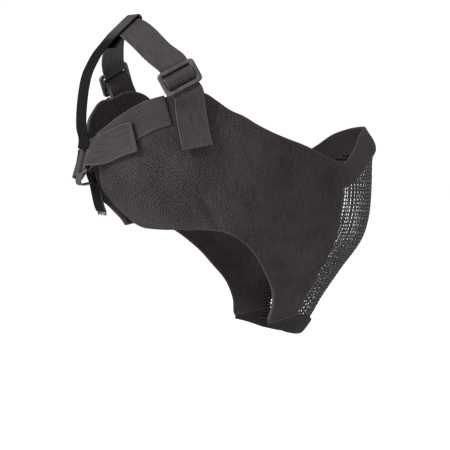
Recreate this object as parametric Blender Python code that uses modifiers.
"""A half face mask with a steel mesh front, nylon cheek panels and a webbing head harness, as worn.

Metres, +Z up. The face looks along -Y and the wearer's right side is -X. The origin is the middle
of the head between the ears.

The mask's form is one surface round the head. A point on it has a place and a height. The place
is -2 on the middle line in front of the nose, -1 where the steel cup meets a side panel, 0 over
the ear and 1 on the middle line behind the head.
"""

import math
from collections import namedtuple

import bmesh
import bpy
import numpy as np
from mathutils import Matrix, Vector

# Sizes of the form
NOSE_REACH = 0.160
CUP_HALF = 0.057
CUP_DEPTH = 0.1075
EAR_HALF = 0.081
NAPE_REACH = 0.106
FACE_DROP = 0.147
RIDGE_ROUND = 0.12
CHEEK_CURVE = 1.9

# Walls and clearances
GAP = 0.0003
PANEL_WALL = 0.003
FLAP_WALL = 0.0020
STEEL_WALL = 0.0012
WEBBING = 0.0013
WEBBING_WIDTH = 0.0255

# Cloth edges
PANEL_RISE = 0.0645
FLAP_RISE = 0.0320
FLAP_HEIGHT = 0.0180
FLAP_SLOPE = 0.0325
CUP_OVERLAP = 0.008
CHIN_STEP = 0.1385
CHIN_OVERLAP = 0.005

# Openings in the steel cup
HOLE_COLUMNS = 6
HOLE_ROWS = 10
HOLE_SHARE = 0.60

# Sliders
SLIDER_LONG = 0.0340
SLIDER_SHORT = 0.0210
SLIDER_THICK = 0.0030
SLIDER_BAR = 0.0033
SLIDER_END = 0.0040
CENTRE_BAR = 0.0030
CENTRE_BAR_THICK = 0.0016
SLIDER_CORNER = 0.0030
SLIDER_EDGE = 0.0006

# Harness
CROWN_BACK = 0.0758
CROWN_RISE = 0.1193
CROWN_SAG = 0.0016
CROWN_PINCH = 0.20
CROWN_PINCH_RUN = 0.018
BACK_STRAP_STAND = 0.0026
BACK_STRAP_END = 0.0150
SLIDER_SIDE = 0.0805
SLIDER_BACK = 0.0560
SLIDER_RISE = 0.0748
CROWN_TAIL_END = 0.0165
OCCIPUT_STAND = 0.0086
REAR_SLIDER_STAND = 0.0050
REAR_SLIDER_RISE = 0.0062
TAB_RISE = 0.0475
NAPE_SEAM_RISE = 0.0478
FAR_DROP = 0.034
TAIL_STAND = 0.0025
REAR_LOOP_WIDTH = 0.0130
HANGING_TAIL_TOP = -0.0040
HANGING_TAIL_END = -0.0385

LAYER = WEBBING + GAP
OCCIPUT_REACH = NAPE_REACH + OCCIPUT_STAND
REAR_SLIDER_REACH = NAPE_REACH + REAR_SLIDER_STAND

FormRow = namedtuple("FormRow", "height reach ridge cup_half cup_depth ear_half back")
# Sections of the form from the chin up, as shares of the sizes above; ridge is how sharp the nose is
FORM = (
    FormRow(-1.060, 0.450, 0.00, 0.26, 0.54, 0.37, 0.48),
    FormRow(-1.000, 0.550, 0.00, 0.35, 0.62, 0.46, 0.52),
    FormRow(-0.905, 0.617, 0.00, 0.43, 0.69, 0.53, 0.54),
    FormRow(-0.800, 0.675, 0.00, 0.53, 0.75, 0.62, 0.56),
    FormRow(-0.633, 0.788, 0.05, 0.70, 0.85, 0.74, 0.58),
    FormRow(-0.463, 0.912, 0.10, 0.86, 0.95, 0.88, 0.575),
    FormRow(-0.320, 0.960, 0.20, 0.94, 0.995, 0.95, 0.66),
    FormRow(-0.136, 0.981, 0.45, 1.00, 1.00, 0.995, 0.915),
    FormRow(0.000, 0.988, 0.75, 1.00, 0.98, 1.00, 0.985),
    FormRow(0.115, 0.992, 1.00, 1.00, 0.96, 0.995, 1.00),
    FormRow(0.225, 0.925, 1.00, 1.00, 0.94, 0.98, 0.995),
    FormRow(0.410, 0.860, 1.00, 1.00, 0.90, 0.95, 1.03),
)

Rib = namedtuple("Rib", "low_place low high_place high")
# Lines across a side panel from the cup to the nape: low is a share of the drop, high of the rise
RIBS = (
    Rib(-0.940, -0.885, -0.930, 0.035),
    Rib(-0.800, -0.900, -0.860, 0.085),
    Rib(-0.565, -0.922, -0.710, 0.190),
    Rib(-0.528, -0.820, -0.560, 0.290),
    Rib(-0.450, -0.720, -0.410, 0.370),
    Rib(-0.310, -0.615, -0.280, 0.448),
    Rib(-0.160, -0.505, -0.150, 0.541),
    Rib(-0.010, -0.420, -0.040, 0.640),
    Rib(0.100, -0.380, 0.055, 0.733),
    Rib(0.200, -0.363, 0.125, 0.860),
    Rib(0.310, -0.354, 0.190, 0.970),
    Rib(0.420, -0.354, 0.290, 1.000),
    Rib(0.520, -0.354, 0.400, 0.900),
    Rib(0.620, -0.355, 0.500, 0.865),
    Rib(0.720, -0.352, 0.600, 0.730),
    Rib(0.810, -0.347, 0.690, 0.600),
    Rib(0.880, -0.328, 0.760, 0.440),
    Rib(0.925, -0.288, 0.810, 0.385),
    Rib(0.930, -0.215, 0.832, 0.330),
    Rib(0.898, -0.125, 0.842, 0.250),
    Rib(0.862, -0.050, 0.850, 0.130),
)

FlapEdge = namedtuple("FlapEdge", "share rise")
# Top edge of the flap from the middle to the panel: rise is 1 at the peak and 0 at the corner
FLAP_EDGE = (
    FlapEdge(0.00, 1.00),
    FlapEdge(0.12, 0.99),
    FlapEdge(0.28, 0.92),
    FlapEdge(0.50, 0.74),
    FlapEdge(0.75, 0.36),
    FlapEdge(1.00, 0.00),
)

EdgePoint = namedtuple("EdgePoint", "place height")
# Lower edge of the chin cover, in heights as shares of the drop
CHIN_EDGE = (
    EdgePoint(-2.000, -0.998),
    EdgePoint(-1.400, -1.006),
    EdgePoint(-0.980, -0.992),
    EdgePoint(-0.710, -0.955),
    EdgePoint(-0.565, -0.938),
)

Fold = namedtuple("Fold", "place height other_place other_height depth width")
# Dents in a side panel, each a line between two points: heights are shares of the drop, depth and
# width shares of the panel's wall
FOLDS = (
    Fold(0.240, -0.110, 0.125, -0.350, 0.73, 2.50),
    Fold(-0.250, -0.530, -0.560, -0.520, 0.60, 2.20),
    Fold(-0.440, -0.680, -0.560, -0.640, 0.47, 2.00),
)


def smooth_rows(rows, at):
    """The rows' values at a first-column value, on a smooth curve through them."""
    table = np.array(rows, float)
    steps = table[:, 0]
    at = min(max(at, steps[0]), steps[-1])
    i = min(max(int(np.searchsorted(steps, at)) - 1, 0), len(steps) - 2)
    width = steps[i + 1] - steps[i]

    def slope(k):
        before, after = max(k - 1, 0), min(k + 1, len(steps) - 1)
        return (table[after] - table[before]) / (steps[after] - steps[before])

    s = (at - steps[i]) / width
    near = (2 * s**3 - 3 * s**2 + 1) * table[i] + (s**3 - 2 * s**2 + s) * width * slope(i)
    far = (3 * s**2 - 2 * s**3) * table[i + 1] + (s**3 - s**2) * width * slope(i + 1)
    return near + far


def form(place, height):
    """The point of the form on the wearer's right side."""
    row = FormRow(*smooth_rows(FORM, height / FACE_DROP))
    cup_half = row.cup_half * CUP_HALF
    cup_depth = row.cup_depth * CUP_DEPTH
    ear_half = row.ear_half * EAR_HALF
    if place < -1:
        share = place + 2
        pointed = (math.hypot(share, RIDGE_ROUND) - RIDGE_ROUND) / (
            math.hypot(1, RIDGE_ROUND) - RIDGE_ROUND
        )
        fall = (1 - row.ridge) * share**2 + row.ridge * pointed
        bulge = (row.reach * NOSE_REACH - cup_depth) * (1 - fall)
        return Vector((-cup_half * share, -(cup_depth + bulge), height))
    if place < 0:
        narrowing = (ear_half - cup_half) * (-place) ** CHEEK_CURVE
        return Vector((-(ear_half - narrowing), place * cup_depth, height))
    turn = place * math.pi / 2
    return Vector((-ear_half * math.cos(turn), row.back * NAPE_REACH * math.sin(turn), height))


def facing(place, height):
    """The form's outward direction."""
    along = form(place + 0.01, height) - form(place - 0.01, height)
    if place < -1.98:
        along = Vector((-1, 0, 0))
    up = form(place, height + 0.001) - form(place, height - 0.001)
    out = along.cross(up).normalized()
    return out if out.dot(form(place, height) - Vector((0, 0, height))) > 0 else -out


def raised(place, height, lift):
    return form(place, height) + facing(place, height) * lift


def other_side(point):
    return Vector((-point.x, point.y, point.z))


def material(name, color, roughness, metallic=0.0):
    new = bpy.data.materials.new(name)
    new.use_nodes = True
    shader = new.node_tree.nodes["Principled BSDF"]
    shader.inputs["Base Color"].default_value = (*color, 1)
    shader.inputs["Roughness"].default_value = roughness
    shader.inputs["Metallic"].default_value = metallic
    new.diffuse_color = (*color, 1)
    return new


def add_object(name, mesh, finish, group):
    obj = bpy.data.objects.new(name, mesh)
    mesh.materials.append(finish)
    group.objects.link(obj)
    return obj


def sheet(name, rows, wall, finish, group, mirrored=False, holes=()):
    """A sheet of cloth or steel: a grid of points, given a wall. holes are cells left open."""
    mesh = bpy.data.meshes.new(name)
    build = bmesh.new()
    grid = [[build.verts.new(point) for point in row] for row in rows]
    for i in range(len(grid) - 1):
        for j in range(len(grid[0]) - 1):
            if (i, j) not in holes:
                build.faces.new((grid[i][j], grid[i][j + 1], grid[i + 1][j + 1], grid[i + 1][j]))
    build.to_mesh(mesh)
    build.free()
    mesh.shade_smooth()
    obj = add_object(name, mesh, finish, group)
    if mirrored:
        mirror = obj.modifiers.new("other side", "MIRROR")
        mirror.merge_threshold = 0.0001
    thick = obj.modifiers.new("wall", "SOLIDIFY")
    thick.thickness = wall
    thick.offset = 0
    return obj


def smooth_path(points, steps):
    """Points on a smooth curve through the given ones, with as many steps in each stretch."""
    ends = [points[0] * 2 - points[1], *points, points[-1] * 2 - points[-2]]
    path = []
    for before, start, end, after in zip(ends, ends[1:], ends[2:], ends[3:]):
        for step in range(steps):
            s = step / steps
            path.append(
                start
                + (end - before) * (0.5 * s)
                + (before * 2 - start * 5 + end * 4 - after) * (0.5 * s**2)
                + (start * 3 - before - end * 3 + after) * (0.5 * s**3)
            )
    path.append(points[-1])
    return path


def strap(name, route, width, wall, finish, group, steps=2, mirrored=False, pinch=0.0):
    """Webbing along a route of (point, direction across the webbing), narrower at its start by pinch."""
    middles = smooth_path([Vector(point) for point, _ in route], steps)
    acrosses = smooth_path([Vector(across).normalized() for _, across in route], steps)
    rows = []
    run = 0.0
    for i, (middle, across) in enumerate(zip(middles, acrosses)):
        run += (middle - middles[max(i - 1, 0)]).length
        half = width / 2 * (1 - pinch * math.exp(-((run / CROWN_PINCH_RUN) ** 2)))
        ahead = middles[min(i + 1, len(middles) - 1)] - middles[max(i - 1, 0)]
        across = (across - ahead * (across.dot(ahead) / ahead.length_squared)).normalized()
        if mirrored and i == 0:
            across = Vector((0, across.y, across.z)).normalized()
        rows.append([middle - across * half, middle + across * half])
    return sheet(name, rows, wall, finish, group, mirrored)


def on_form(points, sense, mirrored=False):
    """Route points on the form from (place, height, lift). sense is 1 or -1, the side that leads."""
    spots = [raised(*point) for point in points]
    route = []
    for i, (place, height, _) in enumerate(points):
        ahead = spots[min(i + 1, len(spots) - 1)] - spots[max(i - 1, 0)]
        across = facing(place, height).cross(ahead) * sense
        if mirrored:
            route.append((other_side(spots[i]), other_side(across)))
        else:
            route.append((spots[i], across))
    return route


def panel_point(rib, share, lift):
    """A point of a side panel at a share of the way up a rib, dented by the folds."""
    rib = Rib(*rib)
    place = rib.low_place + (rib.high_place - rib.low_place) * share
    low, high = rib.low * FACE_DROP, rib.high * PANEL_RISE
    height = low + (high - low) * share
    point = raised(place, height, lift)
    for fold in FOLDS:
        start = form(fold.place, fold.height * FACE_DROP)
        end = form(fold.other_place, fold.other_height * FACE_DROP)
        along = end - start
        way = min(max((point - start).dot(along) / along.length_squared, 0), 1)
        off = (point - start - along * way).length - lift
        depth = fold.depth * PANEL_WALL * math.sin(math.pi * (0.15 + 0.7 * way))
        spread = fold.width * PANEL_WALL
        point = point - facing(place, height) * depth * math.exp(-((off / spread) ** 2))
    return point


def side_panel(name, side, finish, group):
    """Padded nylon from the steel cup over the cheek and ear to the nape."""
    lift = GAP + PANEL_WALL / 2
    numbered = [(i, *rib) for i, rib in enumerate(RIBS)]
    rows = []
    for step in range(2 * len(RIBS) - 1):
        rib = smooth_rows(numbered, step / 2)[1:]
        row = [panel_point(rib, share, lift) for share in np.linspace(0, 1, 14)]
        rows.append(row if side < 0 else [other_side(point) for point in row])
    return sheet(name, rows, PANEL_WALL, finish, group)


def flap_top(share):
    """Height of the flap's top edge at a share of the way from the middle to the panel."""
    rise = smooth_rows(FLAP_EDGE, share)[1]
    return FLAP_RISE * rise + RIBS[0].high * PANEL_RISE * (1 - rise)


def flap_bottom(share):
    return FLAP_RISE - FLAP_HEIGHT - FLAP_SLOPE * share**0.95


def nose_flap(finish, group):
    """Cloth folded over the cup's top edge, standing to a peak in front of the nose."""
    lift = GAP + FLAP_WALL / 2
    rows = []
    for share in np.linspace(0, 2 + RIBS[0].high_place - 0.005, 15):
        low, high = flap_bottom(share), flap_top(share)
        heights = np.linspace(low, high, 6)
        rows.append([raised(share - 2, height, lift) for height in heights])
    for point in rows[0]:
        point.x = 0
    return sheet("nose_flap", rows, FLAP_WALL, finish, group, mirrored=True)


def cup_bottom(share):
    return -(CHIN_STEP + CHIN_OVERLAP) + CHIN_OVERLAP * share


def face_mesh(finish, group):
    """The steel cup. Its cells between the bars are open, and its rim is plain."""
    columns, rows_up = 2 * HOLE_COLUMNS + 1, 2 * HOLE_ROWS + 1
    bar, hole = 1 - HOLE_SHARE, HOLE_SHARE
    shares = [0.0]
    for i in range(columns):
        shares.append(shares[-1] + (hole if i % 2 == 0 else bar))
    shares = np.array(shares[: columns + 1]) / shares[columns]
    ups = [0.0]
    for i in range(rows_up):
        ups.append(ups[-1] + (bar if i % 2 == 0 else hole))
    ups = np.array(ups) / ups[-1]
    seam = 2 + RIBS[0].low_place + CUP_OVERLAP / CUP_DEPTH
    lift = -STEEL_WALL / 2
    rows = []
    for share in shares:
        place = -2 + share * seam
        across = min(share * seam, 1)
        low, high = cup_bottom(across), flap_bottom(across) + CUP_OVERLAP
        rows.append([raised(place, low + (high - low) * up, lift) for up in ups])
    for point in rows[0]:
        point.x = 0
    holes = {(i, j) for i in range(0, columns - 1, 2) for j in range(1, rows_up, 2)}
    return sheet("face_mesh", rows, STEEL_WALL, finish, group, mirrored=True, holes=holes)


def chin_cover(finish, group):
    """The cloth band under the chin, between the two side panels and over the cup's lower edge."""
    lift = GAP + FLAP_WALL / 2
    numbered = [(i, *rib) for i, rib in enumerate(RIBS[:4])]
    corner = RIBS[0]
    rows = []
    for share in np.linspace(0, 1, 9)[:-1]:
        place = -2 + (corner.low_place + 2) * share
        high = -CHIN_STEP + (corner.low * FACE_DROP + CHIN_STEP) * share
        rows.append((place, high))
    for step in np.linspace(0, 2, 11):
        rib = Rib(*smooth_rows(numbered, step)[1:])
        rows.append((rib.low_place, rib.low * FACE_DROP - 2 * GAP))
    edge = [(edge.place, edge.height) for edge in CHIN_EDGE]
    points = []
    for place, high in rows:
        low = smooth_rows(edge, place)[1] * FACE_DROP
        points.append([raised(place, high + (low - high) * s, lift) for s in np.linspace(0, 1, 5)])
    for point in points[0]:
        point.x = 0
    return sheet("chin_cover", points, FLAP_WALL, finish, group, mirrored=True)


def slider(name, matrix, finish, group, cutters):
    """A three-bar slider: its length across the webbing is X, and its outer face is +Z."""
    mesh = bpy.data.meshes.new(name)
    build = bmesh.new()
    size = Matrix.Diagonal((SLIDER_LONG, SLIDER_SHORT, SLIDER_THICK, 1))
    bmesh.ops.create_cube(build, size=1, matrix=size)
    corners = [edge for edge in build.edges if abs((edge.verts[0].co - edge.verts[1].co).z) > GAP]
    bmesh.ops.bevel(build, geom=corners, offset=SLIDER_CORNER, segments=3, profile=0.5, affect="EDGES")
    build.to_mesh(mesh)
    build.free()
    obj = add_object(name, mesh, finish, group)
    obj.matrix_world = matrix
    slot = (SLIDER_SHORT - 2 * SLIDER_BAR - CENTRE_BAR) / 2
    slot_middle = (CENTRE_BAR + slot) / 2
    window = SLIDER_LONG - 2 * SLIDER_END
    tall = 2 * SLIDER_THICK
    cuts = [
        ("upper_slot", (window, slot, tall), (0, slot_middle, 0)),
        ("lower_slot", (window, slot, tall), (0, -slot_middle, 0)),
        (
            "centre_bar_top",
            (window, CENTRE_BAR * 1.2, SLIDER_THICK),
            (0, 0, SLIDER_THICK / 2 - (SLIDER_THICK - CENTRE_BAR_THICK) + SLIDER_THICK / 2),
        ),
    ]
    for label, extent, middle in cuts:
        cut_mesh = bpy.data.meshes.new(f"{name}_{label}")
        build = bmesh.new()
        bmesh.ops.create_cube(
            build, size=1, matrix=Matrix.Translation(middle) @ Matrix.Diagonal((*extent, 1))
        )
        build.to_mesh(cut_mesh)
        build.free()
        cutter = bpy.data.objects.new(f"{name}_{label}", cut_mesh)
        cutter.matrix_world = matrix
        cutter.hide_render = True
        cutter.display_type = "WIRE"
        cutters.objects.link(cutter)
        cut = obj.modifiers.new(label, "BOOLEAN")
        cut.operation = "DIFFERENCE"
        cut.object = cutter
    soft = obj.modifiers.new("soft edges", "BEVEL")
    soft.width = SLIDER_EDGE
    soft.segments = 1
    soft.limit_method = "ANGLE"
    return obj


def slider_place(middle, long_way, short_way):
    """A slider's matrix from its middle and rough directions along its length and its shortness."""
    long_way = Vector(long_way).normalized()
    short_way = Vector(short_way)
    short_way = (short_way - long_way * short_way.dot(long_way)).normalized()
    out = long_way.cross(short_way)
    return Matrix.Translation(middle) @ Matrix(
        [(long_way[i], short_way[i], out[i]) for i in range(3)]
    ).to_4x4()


def in_slider(matrix, points):
    """Route points given as (distance along the short way, distance out) from a slider's middle."""
    across = (matrix.to_3x3() @ Vector((1, 0, 0))).normalized()
    return [(matrix @ Vector((0, short, out)), across) for short, out in points]


def side_slider_matrix():
    middle = Vector((-SLIDER_SIDE, SLIDER_BACK, SLIDER_RISE))
    return slider_place(middle, (-0.27, -0.88, 0.49), (0.30, 0.29, 0.91))


def rear_slider_matrix():
    middle = Vector((0, REAR_SLIDER_REACH, REAR_SLIDER_RISE))
    return slider_place(middle, (-0.32, 0.33, -0.89), (-0.95, -0.03, 0.33))


UNDER = -(SLIDER_THICK / 2 + GAP + WEBBING / 2)
OVER_BAR = CENTRE_BAR_THICK - SLIDER_THICK / 2 + GAP + WEBBING / 2
BESIDE_BAR = CENTRE_BAR / 2 + GAP + WEBBING / 2
SLOT_MIDDLE = BESIDE_BAR + LAYER + 2 * GAP
OUTER_BAR = SLIDER_SHORT / 2


def crown_strap(finish, group):
    """Webbing over the crown, through a slider on each side, with its ends hanging."""
    half_top = [
        ((0, CROWN_BACK, CROWN_RISE), (0, -0.75, 0.66)),
        ((-0.22 * SLIDER_SIDE, CROWN_BACK * 0.989, CROWN_RISE * 0.979), (-0.02, -0.76, 0.65)),
        ((-0.46 * SLIDER_SIDE, CROWN_BACK * 0.944, CROWN_RISE * 0.908), (-0.08, -0.80, 0.59)),
        ((-0.70 * SLIDER_SIDE, CROWN_BACK * 0.882, CROWN_RISE * 0.810), (-0.15, -0.85, 0.50)),
    ]
    matrix = side_slider_matrix()
    through = in_slider(
        matrix,
        [
            (OUTER_BAR + 0.0040, UNDER - 2 * GAP),
            (OUTER_BAR - 0.0025, UNDER - GAP),
            (SLOT_MIDDLE + 0.0014, UNDER + 2 * GAP),
            (SLOT_MIDDLE, 0),
            (SLOT_MIDDLE - 0.0009, OVER_BAR + 2 * GAP),
            (SLOT_MIDDLE - 0.0026, OVER_BAR + LAYER),
            (0, OVER_BAR + LAYER + 2 * GAP),
            (-SLOT_MIDDLE + 0.0026, OVER_BAR + LAYER),
            (-SLOT_MIDDLE + 0.0009, OVER_BAR + 2 * GAP),
            (-SLOT_MIDDLE, 0),
            (-SLOT_MIDDLE - 0.0014, UNDER + 2 * GAP),
            (-OUTER_BAR + 0.0025, UNDER - GAP),
            (-OUTER_BAR - 0.0020, UNDER - GAP),
            (-OUTER_BAR - 0.0060, UNDER - 3 * GAP),
        ],
    )
    lift = GAP + PANEL_WALL + 3 * GAP + WEBBING / 2 + 2 * (LAYER + GAP)
    tail = on_form(
        [
            (0.264, TAB_RISE, lift),
            (0.256, TAB_RISE * 0.674, lift),
            (0.238, CROWN_TAIL_END, lift),
        ],
        1,
    )
    route = half_top + through + tail
    return strap(
        "crown_strap", route, WEBBING_WIDTH, WEBBING, finish, group, mirrored=True, pinch=CROWN_PINCH
    )


def slider_tab(name, side, finish, group):
    """Webbing sewn on a panel, up round the slider's centre bar and back down on itself."""
    inner_lift = GAP + PANEL_WALL + 3 * GAP + WEBBING / 2
    outer_lift = inner_lift + LAYER + GAP
    inner, outer = UNDER - 2 * LAYER - 2 * GAP, UNDER - LAYER - 2 * GAP
    matrix = side_slider_matrix()
    mirrored = side > 0
    sewn = [(0.260, TAB_RISE * 0.821), (0.264, TAB_RISE)]
    up = on_form([(*spot, inner_lift) for spot in sewn], -1, mirrored)
    down = on_form([(*spot, outer_lift) for spot in reversed(sewn)], 1, mirrored)
    round_bar = in_slider(
        matrix,
        [
            (-OUTER_BAR - 0.0060, inner - 4 * GAP),
            (-OUTER_BAR - 0.0020, inner - GAP),
            (-0.0055, inner + GAP),
            (-0.0018, UNDER - LAYER - GAP),
            (0, UNDER - 2 * GAP),
            (0.0016, UNDER),
            (BESIDE_BAR + GAP / 2, UNDER / 2),
            (BESIDE_BAR, OVER_BAR - 0.0008),
            (0.0017, OVER_BAR + GAP / 2),
            (0, OVER_BAR + GAP / 2),
            (-0.0017, OVER_BAR + GAP / 2),
            (-BESIDE_BAR, OVER_BAR - 0.0008),
            (-BESIDE_BAR - GAP / 2, UNDER / 2),
            (-0.0032, UNDER - GAP),
            (-0.0055, outer + GAP / 2),
            (-OUTER_BAR - 0.0020, outer - GAP),
            (-OUTER_BAR - 0.0060, outer - 3 * GAP),
        ],
    )
    if mirrored:
        round_bar = [(other_side(point), other_side(way)) for point, way in round_bar]
    return strap(name, up + round_bar + down, WEBBING_WIDTH, WEBBING, finish, group)


def back_strap(finish, group):
    """Webbing looped round the crown strap, down behind the head to the nape."""
    out = Vector((0, 0.66, 0.75))
    along = Vector((0, -0.75, 0.66))
    crown = Vector((0, CROWN_BACK, CROWN_RISE))
    half = WEBBING_WIDTH / 2 * (1 - CROWN_PINCH / 2)
    lift = LAYER + GAP
    under = lift + CROWN_SAG
    round_edge = [
        crown - along * (half + 0.010) - out * (under + 0.0022),
        crown - along * (half + 0.003) - out * (under + 0.0008),
        crown - along * half * 0.3 - out * under,
        crown + along * (half - 0.001) - out * under,
        crown + along * (half + lift * 0.8) - out * under * 0.6,
        crown + along * (half + lift) + out * lift * 0.2,
        crown + along * (half - 0.0005) + out * (lift + GAP),
        crown - along * half * 0.3 + out * lift,
        crown - along * (half + 0.001) + out * (lift - GAP),
    ]
    down = [
        (0.807, 0.880),
        (0.871, 0.807),
        (0.926, 0.717),
        (0.960, 0.642),
        (0.985, 0.528),
        (1.000, 0.397),
        (1.002, 0.274),
        (0.984, 0.194),
    ]
    hang = [Vector((0, OCCIPUT_REACH * reach, CROWN_RISE * rise)) for reach, rise in down]
    hang.append(Vector((0, REAR_SLIDER_REACH + BACK_STRAP_STAND, BACK_STRAP_END)))
    route = [(point, (1, 0, 0)) for point in round_edge + hang]
    return strap("back_strap", route, WEBBING_WIDTH, WEBBING, finish, group)


def round_outer_bar(way):
    """Route points round an outer bar of a slider, from inside to outside. way is 1 or -1."""
    bar_middle = OUTER_BAR - SLIDER_BAR / 2
    return [
        (way * (OUTER_BAR + 0.0065), UNDER - GAP / 2),
        (way * (OUTER_BAR + 0.002), UNDER),
        (way * bar_middle, UNDER),
        (way * (bar_middle - 0.0020), UNDER + GAP / 2),
        (way * (bar_middle - 0.0030), UNDER * 0.65),
        (way * (bar_middle - 0.0033), 0),
        (way * (bar_middle - 0.0030), -UNDER * 0.65),
        (way * (bar_middle - 0.0020), -UNDER - GAP / 2),
        (way * bar_middle, -UNDER),
        (way * (OUTER_BAR + 0.002), -UNDER),
        (way * (OUTER_BAR + 0.0065), GAP / 2 - UNDER),
    ]


def nape_strap(name, side, finish, group):
    """Webbing sewn on a panel, back round an outer bar of the rear slider and forward on itself."""
    sewn = GAP + PANEL_WALL + 2 * GAP + WEBBING / 2
    loose = sewn + LAYER + GAP
    mirrored = side > 0
    inner = [
        (0.378, 1.000, sewn),
        (0.470, 0.916, sewn),
        (0.573, 0.759, sewn),
        (0.660, 0.611, sewn),
        (0.735, 0.473, sewn),
        (0.800, 0.351, sewn + 3 * GAP),
    ]
    outer = [
        (0.770, 0.330, loose + GAP),
        (0.668, 0.440, loose),
        (0.563, 0.533, loose + TAIL_STAND),
    ]
    if mirrored:
        inner[-1] = (*inner[-1][:2], inner[-1][2] + LAYER + GAP)
    inner, outer = (
        [
            (place, NAPE_SEAM_RISE * rise - mirrored * FAR_DROP * (place - 0.378), lift)
            for place, rise, lift in points
        ]
        for points in (inner, outer)
    )
    turn = in_slider(rear_slider_matrix(), round_outer_bar(-side))
    route = on_form(inner, 1, mirrored) + turn + on_form(outer, -1, mirrored)
    if mirrored:
        route = [(point, -way if way.z > 0 else way) for point, way in route]
    return strap(name, route, WEBBING_WIDTH, WEBBING, finish, group)


def hanging_tail(finish, group):
    """The loose end that hangs below the rear slider, inside it."""
    drop = HANGING_TAIL_TOP - HANGING_TAIL_END
    route = [
        ((0, NAPE_REACH * reach, HANGING_TAIL_TOP - drop * share), (1, 0, 0))
        for reach, share in (
            (1.0060, 0.00),
            (0.9960, 0.14),
            (0.9760, 0.30),
            (0.9570, 0.56),
            (0.9360, 0.84),
            (0.9160, 1.00),
        )
    ]
    return strap("hanging_tail", route, WEBBING_WIDTH, WEBBING, finish, group)


def rear_loop(finish, group):
    """A narrow strip from the hanging tail, out under the rear slider's lower end and up over it."""
    matrix = rear_slider_matrix()
    outer = SLIDER_THICK / 2 + 2 * GAP + WEBBING / 2
    end = SLIDER_LONG / 2
    round_end = [
        matrix @ Vector((along, 0, out))
        for along, out in (
            (end + 0.0070, -0.0010),
            (end + 0.0050, outer - 0.0004),
            (end + 0.0010, outer + GAP),
            (end - 0.0010, outer + GAP),
            (end - 0.0024, outer + GAP),
        )
    ]
    side = (matrix @ Vector((end, 0, 0))).x - 0.0030
    face = NAPE_REACH * 0.969 + LAYER + GAP
    drop = HANGING_TAIL_TOP - HANGING_TAIL_END
    sewn = [
        Vector((side, face - 0.006 * drop, HANGING_TAIL_TOP - 0.493 * drop)),
        Vector((side, face + 0.023 * drop, HANGING_TAIL_TOP - 0.348 * drop)),
        Vector((side, face + 0.130 * drop, HANGING_TAIL_TOP - 0.290 * drop)),
    ]
    route = [((side, point.y, point.z), (1, 0, 0)) for point in sewn + round_end]
    return strap("rear_loop", route, REAR_LOOP_WIDTH, WEBBING, finish, group)


def build_mask():
    for obj in list(bpy.data.objects):
        bpy.data.objects.remove(obj)
    scene = bpy.context.scene
    parts = bpy.data.collections.new("face_mask")
    cutters = bpy.data.collections.new("cutters")
    scene.collection.children.link(parts)
    scene.collection.children.link(cutters)

    steel = material("painted_steel", (0.030, 0.030, 0.032), 0.45, 0.6)
    nylon = material("nylon_cloth", (0.040, 0.036, 0.038), 0.85)
    webbing = material("nylon_webbing", (0.060, 0.055, 0.058), 0.75)
    plastic = material("moulded_plastic", (0.045, 0.045, 0.047), 0.40)

    face_mesh(steel, parts)
    nose_flap(nylon, parts)
    chin_cover(nylon, parts)
    crown_strap(webbing, parts)
    back_strap(webbing, parts)
    for label, side in (("right", -1), ("left", 1)):
        side_panel(f"cheek_panel_{label}", side, nylon, parts)
        slider_tab(f"slider_tab_{label}", side, webbing, parts)
        nape_strap(f"nape_strap_{label}", side, webbing, parts)
        flip = Matrix.Identity(4) if side < 0 else Matrix.Diagonal((-1, 1, 1, 1))
        turned = flip @ side_slider_matrix()
        if side > 0:
            turned = turned @ Matrix.Diagonal((-1, 1, 1, 1))
        slider(f"slider_{label}", turned, plastic, parts, cutters)
    slider("rear_slider", rear_slider_matrix(), plastic, parts, cutters)
    hanging_tail(webbing, parts)
    rear_loop(webbing, parts)


build_mask()
